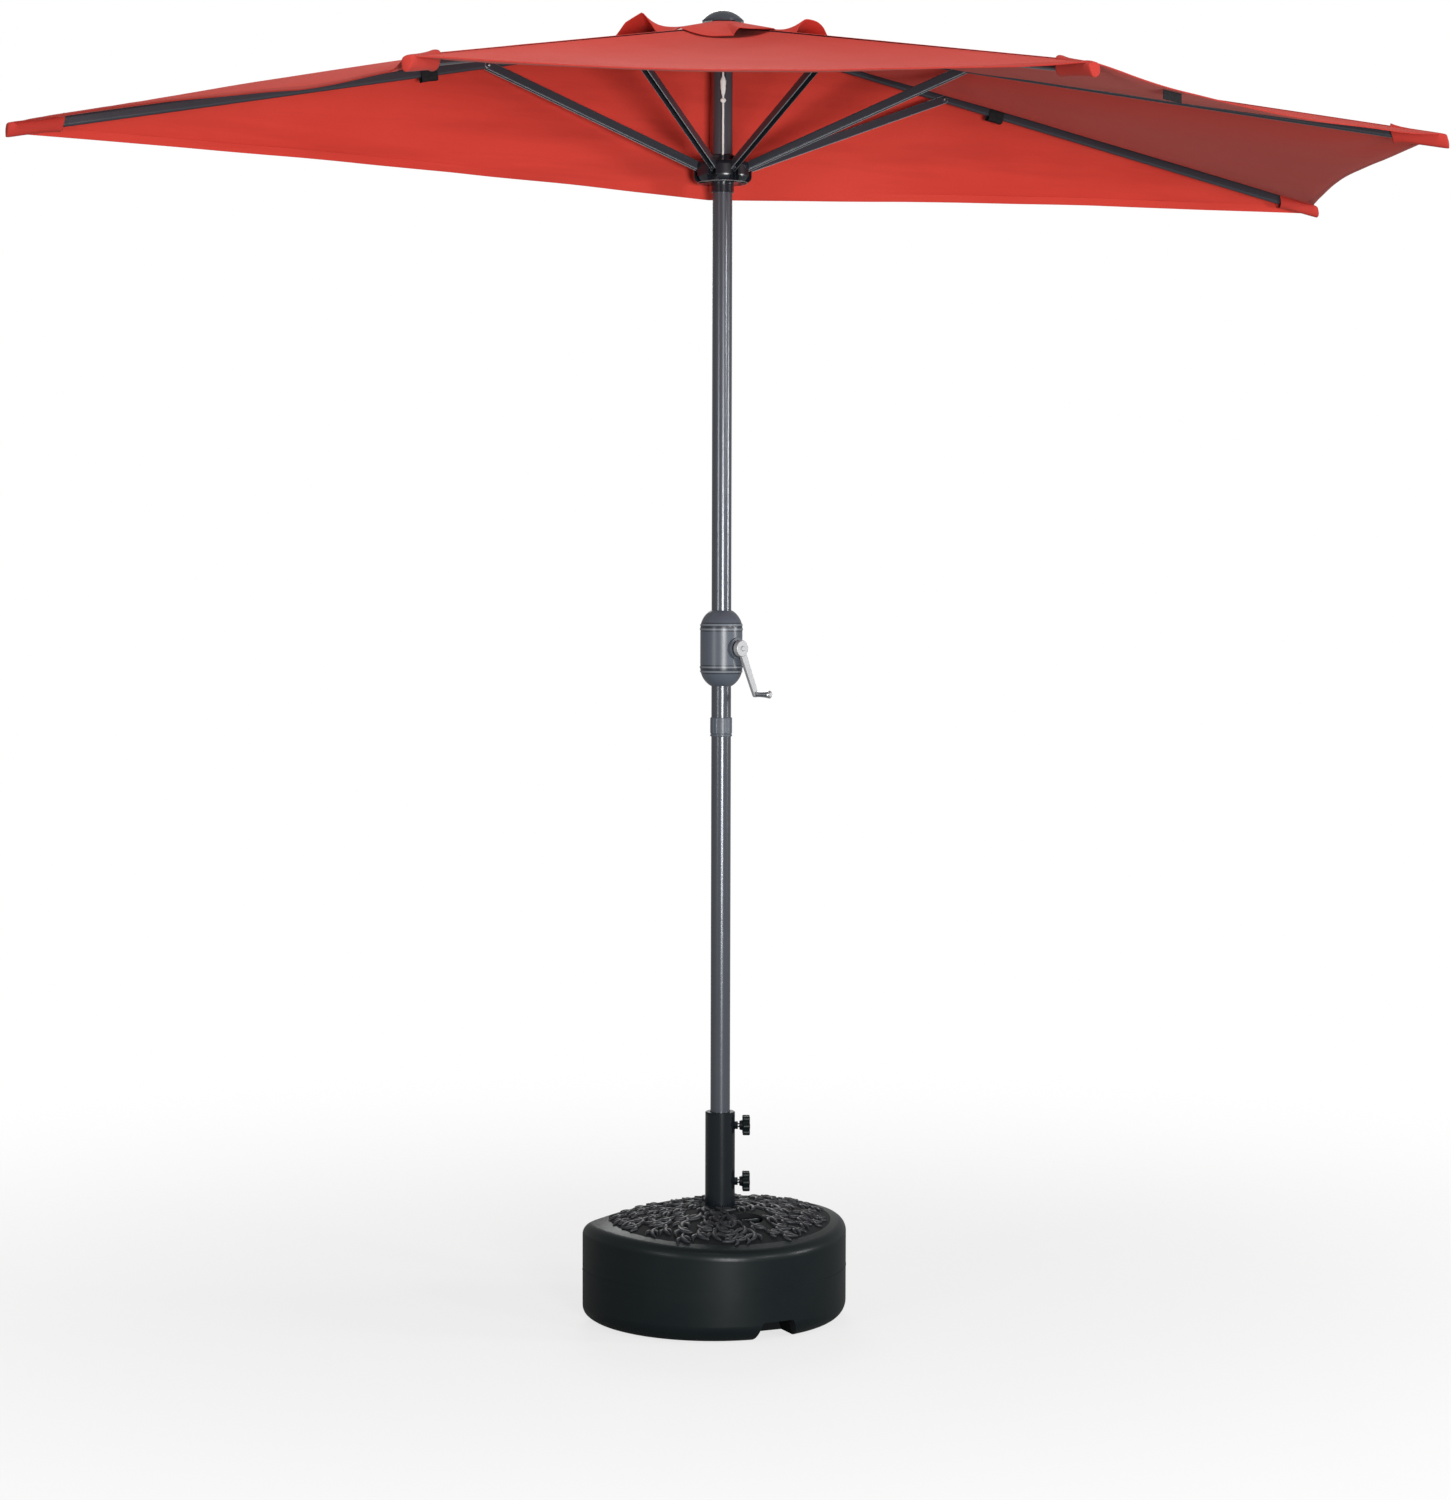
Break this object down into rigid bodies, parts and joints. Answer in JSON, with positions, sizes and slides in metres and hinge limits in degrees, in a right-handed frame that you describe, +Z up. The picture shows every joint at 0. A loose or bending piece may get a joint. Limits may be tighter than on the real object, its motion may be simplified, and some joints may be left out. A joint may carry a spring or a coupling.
{
  "type": "patio umbrella with base",
  "caption": "Half-round balcony umbrella with a wall-side curtain, crank lift, two-piece pole and a half-round fillable base.",
  "frame": {"origin": "on the pole's axis, at floor level under the base", "axes": "+Z up, +X to the right along the flat side as seen from the round side, +Y towards the wall; the round side of canopy and base faces -Y"},
  "size_m": [2.505, 1.35, 2.322],
  "materials": {
    "black_plastic": "moulded polyethylene, fine grain",
    "ballast": null,
    "rubber_seal": "matt",
    "black_steel": "satin powder coat",
    "bright_steel": "zinc plated",
    "slate_steel": "satin metallic powder coat",
    "slate_plastic": "satin",
    "silver_alloy": "satin",
    "chrome_grip": "polished",
    "lift_cord": "braided polyester",
    "canopy_cloth": "plain woven polyester",
    "curtain_cloth": "plain woven polyester"
  },
  "bodies": {
    "base": {"base_tank": "black_plastic", "ballast_fill": "ballast", "plug_seal": "rubber_seal", "sleeve_tube": "black_steel", "sleeve_nuts": "black_steel", "sleeve_liners": "black_plastic"},
    "plug": {"filler_plug": "black_plastic"},
    "upper_stem": {"clamp_screw_upper": "bright_steel"},
    "upper_knob": {"clamp_knob_upper": "black_plastic"},
    "lower_stem": {"clamp_screw_lower": "bright_steel"},
    "lower_knob": {"clamp_knob_lower": "black_plastic"},
    "mast_lower": {"lower_pole": "slate_steel", "pole_foot_cap": "black_plastic", "joint_collar": "slate_plastic", "joint_spigot": "slate_steel", "spigot_rivets": "bright_steel"},
    "mast_upper": {"upper_pole": "slate_steel", "crank_housing_front": "slate_plastic", "crank_housing_back": "slate_plastic", "housing_screws": "bright_steel", "axle_bushes": "black_plastic", "pulley_pin": "bright_steel", "crown_hub": "slate_plastic", "crown_pins": "bright_steel", "crown_washer": "bright_steel", "finial": "slate_plastic", "finial_stud": "bright_steel", "lift_cord_inner": "lift_cord"},
    "runner": {"runner_hub": "slate_plastic", "runner_bush": "black_plastic", "lift_cord_outer": "lift_cord"},
    "crank": {"crank_axle": "bright_steel", "winding_drum": "black_plastic", "crank_arm": "silver_alloy", "crank_screw": "bright_steel"},
    "grip": {"crank_grip": "chrome_grip"},
    "pulley": {"lift_pulley": "silver_alloy"},
    "rib_a": {"rib_a": "slate_steel", "rib_tip_a": "slate_plastic", "canopy_gore_a": "canopy_cloth", "wall_curtain_left": "curtain_cloth"},
    "strut_a": {"strut_a": "slate_steel"},
    "rib_b": {"rib_b": "slate_steel", "rib_tip_b": "slate_plastic", "canopy_gore_b": "canopy_cloth"},
    "strut_b": {"strut_b": "slate_steel"},
    "rib_c": {"rib_c": "slate_steel", "rib_tip_c": "slate_plastic", "canopy_gore_c": "canopy_cloth"},
    "strut_c": {"strut_c": "slate_steel"},
    "rib_d": {"rib_d": "slate_steel", "rib_tip_d": "slate_plastic", "canopy_gore_d": "canopy_cloth"},
    "strut_d": {"strut_d": "slate_steel"},
    "rib_e": {"rib_e": "slate_steel", "rib_tip_e": "slate_plastic", "canopy_gore_e": "canopy_cloth", "wall_curtain_right": "curtain_cloth"},
    "strut_e": {"strut_e": "slate_steel"}
  },
  "joints": [
    {"name": "plug_pull", "type": "slide", "parent": "base", "child": "plug", "axis": [0, 0, 1], "range_m": [0, 0.03]},
    {"name": "upper_screw_slide", "type": "slide", "parent": "base", "child": "upper_stem", "axis": [0.9239, -0.3827, 0], "range_m": [0, 0.0038]},
    {"name": "upper_knob_turn", "type": "hinge", "parent": "upper_stem", "child": "upper_knob", "pos_m": [0, 0, 0.347], "axis": [0.9239, -0.3827, 0], "range_deg": [0, 1080]},
    {"name": "lower_screw_slide", "type": "slide", "parent": "base", "child": "lower_stem", "axis": [0.9239, -0.3827, 0], "range_m": [0, 0.0038]},
    {"name": "lower_knob_turn", "type": "hinge", "parent": "lower_stem", "child": "lower_knob", "pos_m": [0, 0, 0.246], "axis": [0.9239, -0.3827, 0], "range_deg": [0, 1080]},
    {"name": "pole_turn", "type": "hinge", "parent": "base", "child": "mast_lower", "pos_m": [0, 0, 0.2], "axis": [0, 0, 1], "continuous": true},
    {"name": "pole_lift_off", "type": "slide", "parent": "mast_lower", "child": "mast_upper", "axis": [0, 0, 1], "range_m": [0, 0.1]},
    {"name": "runner_slide", "type": "slide", "parent": "mast_upper", "child": "runner", "axis": [0, 0, 1], "range_m": [-0.61102, 0]},
    {"name": "rib_a_hinge", "type": "hinge", "parent": "mast_upper", "child": "rib_a", "pos_m": [-0.03, 0, 2.277], "axis": [0, -1, 0], "range_deg": [0, 73.79], "deforming": ["canopy_gore_a", "wall_curtain_left"]},
    {"name": "strut_a_hinge", "type": "hinge", "parent": "rib_a", "child": "strut_a", "pos_m": [-0.44, 0, 2.19567], "axis": [0, -1, 0], "range_deg": [-139.61, 0]},
    {"name": "rib_b_hinge", "type": "hinge", "parent": "mast_upper", "child": "rib_b", "pos_m": [-0.02121, -0.02121, 2.277], "axis": [0.7071, -0.7071, 0], "range_deg": [0, 73.79], "deforming": ["canopy_gore_b"]},
    {"name": "strut_b_hinge", "type": "hinge", "parent": "rib_b", "child": "strut_b", "pos_m": [-0.31113, -0.31113, 2.19567], "axis": [0.7071, -0.7071, 0], "range_deg": [-139.61, 0]},
    {"name": "rib_c_hinge", "type": "hinge", "parent": "mast_upper", "child": "rib_c", "pos_m": [0, -0.03, 2.277], "axis": [1, 0, 0], "range_deg": [0, 73.79], "deforming": ["canopy_gore_c"]},
    {"name": "strut_c_hinge", "type": "hinge", "parent": "rib_c", "child": "strut_c", "pos_m": [0, -0.44, 2.19567], "axis": [1, 0, 0], "range_deg": [-139.61, 0]},
    {"name": "rib_d_hinge", "type": "hinge", "parent": "mast_upper", "child": "rib_d", "pos_m": [0.02121, -0.02121, 2.277], "axis": [0.7071, 0.7071, 0], "range_deg": [0, 73.79], "deforming": ["canopy_gore_d"]},
    {"name": "strut_d_hinge", "type": "hinge", "parent": "rib_d", "child": "strut_d", "pos_m": [0.31113, -0.31113, 2.19567], "axis": [0.7071, 0.7071, 0], "range_deg": [-139.61, 0]},
    {"name": "rib_e_hinge", "type": "hinge", "parent": "mast_upper", "child": "rib_e", "pos_m": [0.03, 0, 2.277], "axis": [0, 1, 0], "range_deg": [0, 73.79], "deforming": ["canopy_gore_e", "wall_curtain_right"]},
    {"name": "strut_e_hinge", "type": "hinge", "parent": "rib_e", "child": "strut_e", "pos_m": [0.44, 0, 2.19567], "axis": [0, 1, 0], "range_deg": [-139.61, 0]},
    {"name": "crank_turn", "type": "hinge", "parent": "mast_upper", "child": "crank", "pos_m": [0, 0, 1.201], "axis": [0.3827, -0.9239, 0], "continuous": true},
    {"name": "grip_spin", "type": "hinge", "parent": "crank", "child": "grip", "pos_m": [0.06193, -0.05012, 1.11943], "axis": [0.3827, -0.9239, 0], "continuous": true},
    {"name": "pulley_spin", "type": "hinge", "parent": "mast_upper", "child": "pulley", "pos_m": [-0.00425, -0.01026, 2.226], "axis": [0.9239, -0.3827, 0], "continuous": true}
  ],
  "couplings": [
    {"joint": "upper_screw_slide", "follows": "upper_knob_turn", "m_per_rad": 0.00019894},
    {"joint": "lower_screw_slide", "follows": "lower_knob_turn", "m_per_rad": 0.00019894},
    {"joint": "rib_a_hinge", "follows": "runner_slide", "rad_per_m": -2.1075},
    {"joint": "strut_a_hinge", "follows": "runner_slide", "rad_per_m": 3.9874},
    {"joint": "rib_b_hinge", "follows": "runner_slide", "rad_per_m": -2.1075},
    {"joint": "strut_b_hinge", "follows": "runner_slide", "rad_per_m": 3.9874},
    {"joint": "rib_c_hinge", "follows": "runner_slide", "rad_per_m": -2.1075},
    {"joint": "strut_c_hinge", "follows": "runner_slide", "rad_per_m": 3.9874},
    {"joint": "rib_d_hinge", "follows": "runner_slide", "rad_per_m": -2.1075},
    {"joint": "strut_d_hinge", "follows": "runner_slide", "rad_per_m": 3.9874},
    {"joint": "rib_e_hinge", "follows": "runner_slide", "rad_per_m": -2.1075},
    {"joint": "strut_e_hinge", "follows": "runner_slide", "rad_per_m": 3.9874},
    {"joint": "crank_turn", "follows": "runner_slide", "rad_per_m": -111.11},
    {"joint": "pulley_spin", "follows": "runner_slide", "rad_per_m": -105.26}
  ]
}
